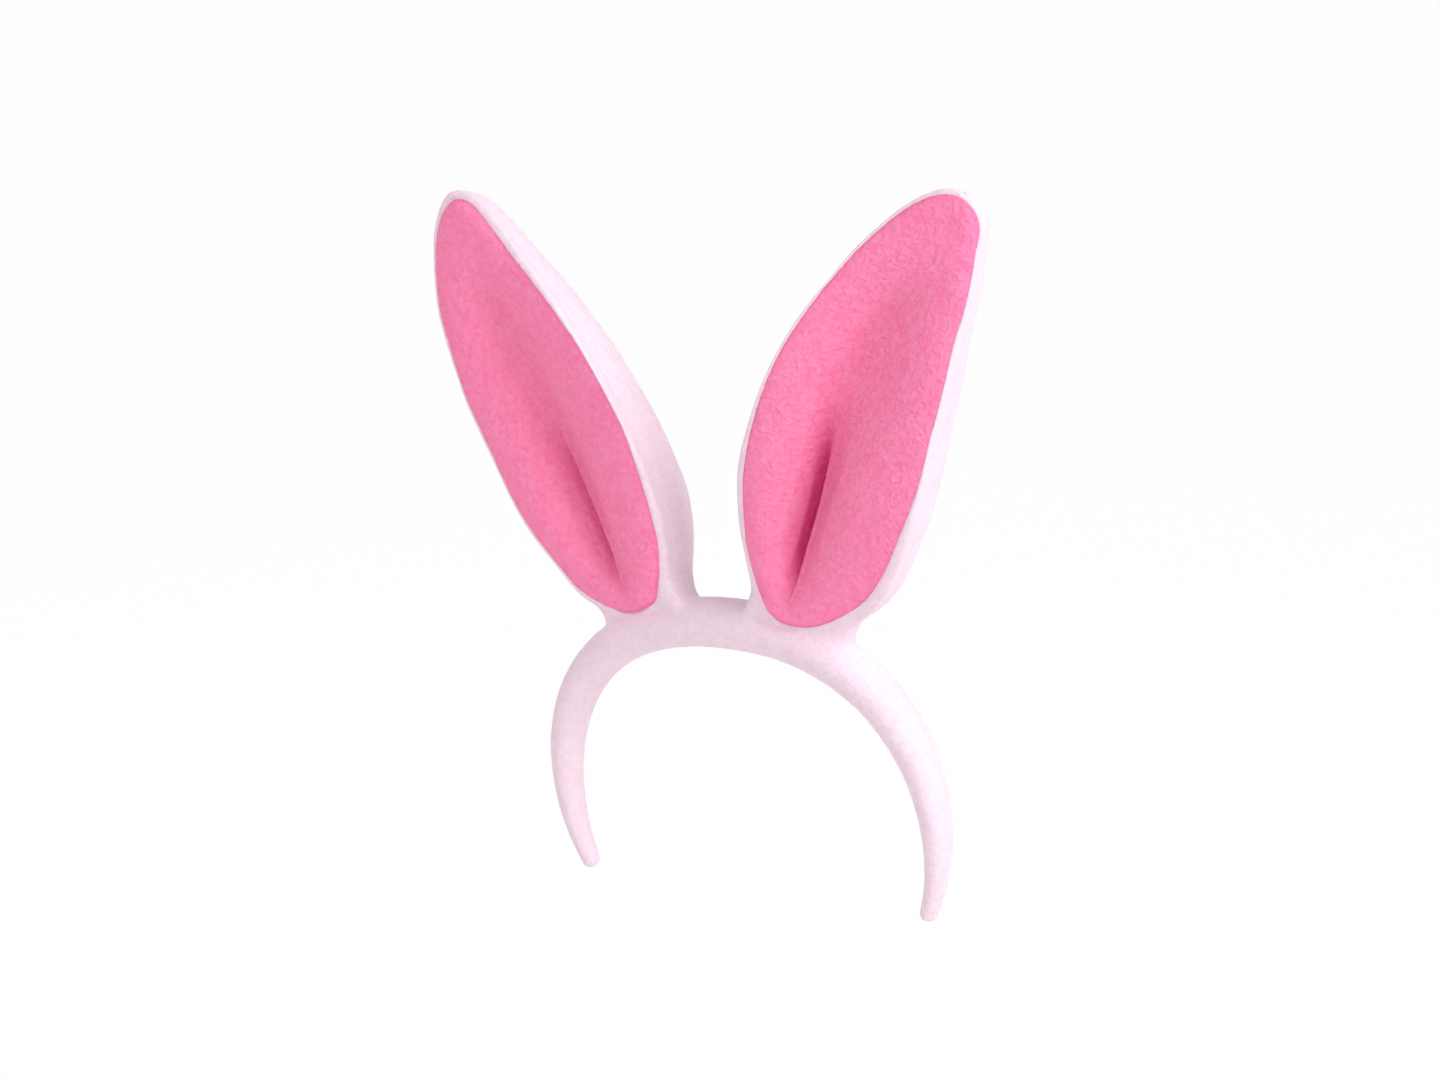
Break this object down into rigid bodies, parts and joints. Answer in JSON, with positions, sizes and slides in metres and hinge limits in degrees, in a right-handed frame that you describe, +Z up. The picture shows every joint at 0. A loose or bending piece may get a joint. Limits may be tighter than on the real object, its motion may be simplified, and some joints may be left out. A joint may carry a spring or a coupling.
{
  "type": "animal ears headband",
  "caption": "Padded spring headband with stuffed plush rabbit ears; wired ears bend fore and aft and stay, and the arms flex outward to grip the head.",
  "frame": {"origin": "underside of the crown at its middle, where the band rests on top of the head", "axes": "+Z up, the ear linings face -Y, +X is the wearer's left"},
  "size_m": [0.2082, 0.0381, 0.2355],
  "materials": {
    "white_plush": "short dense plush pile",
    "pink_plush": "short dense plush pile",
    "pale_foam": "open-cell foam",
    "fibre_fill": "loose polyester fibre",
    "spring_steel": "cold-rolled",
    "soft_wire": "drawn",
    "cap_plastic": "moulded"
  },
  "bodies": {
    "crown": {"crown_cover": "white_plush", "crown_foam": "pale_foam", "spring_strip": "spring_steel", "left_ear_gusset": "white_plush", "right_ear_gusset": "white_plush"},
    "left_arm": {"left_arm_cover": "white_plush", "left_arm_foam": "pale_foam", "left_tip_cap": "cap_plastic"},
    "left_ear": {"left_ear_back": "white_plush", "left_ear_lining": "pink_plush", "left_ear_stuffing": "fibre_fill", "left_ear_wire": "soft_wire"},
    "right_arm": {"right_arm_cover": "white_plush", "right_arm_foam": "pale_foam", "right_tip_cap": "cap_plastic"},
    "right_ear": {"right_ear_back": "white_plush", "right_ear_lining": "pink_plush", "right_ear_stuffing": "fibre_fill", "right_ear_wire": "soft_wire"}
  },
  "joints": [
    {"name": "left_ear_tilt", "type": "hinge", "parent": "crown", "child": "left_ear", "pos_m": [0.0224, 0, 0.0058], "axis": [0.9772, 0, -0.2126], "range_deg": [-30, 45], "deforming": ["left_ear_wire"]},
    {"name": "left_arm_flex", "type": "hinge", "parent": "crown", "child": "left_arm", "pos_m": [0.0502, 0, 0.00233], "axis": [0, -1, 0], "range_deg": [0, 12], "stiffness_Nm_per_rad": 0.8, "deforming": ["spring_strip"]},
    {"name": "right_ear_tilt", "type": "hinge", "parent": "crown", "child": "right_ear", "pos_m": [-0.0224, 0, 0.0058], "axis": [0.9772, 0, 0.2126], "range_deg": [-30, 45], "deforming": ["right_ear_wire"]},
    {"name": "right_arm_flex", "type": "hinge", "parent": "crown", "child": "right_arm", "pos_m": [-0.0502, 0, 0.00233], "axis": [0, 1, 0], "range_deg": [0, 12], "stiffness_Nm_per_rad": 0.8, "deforming": ["spring_strip"]}
  ]
}
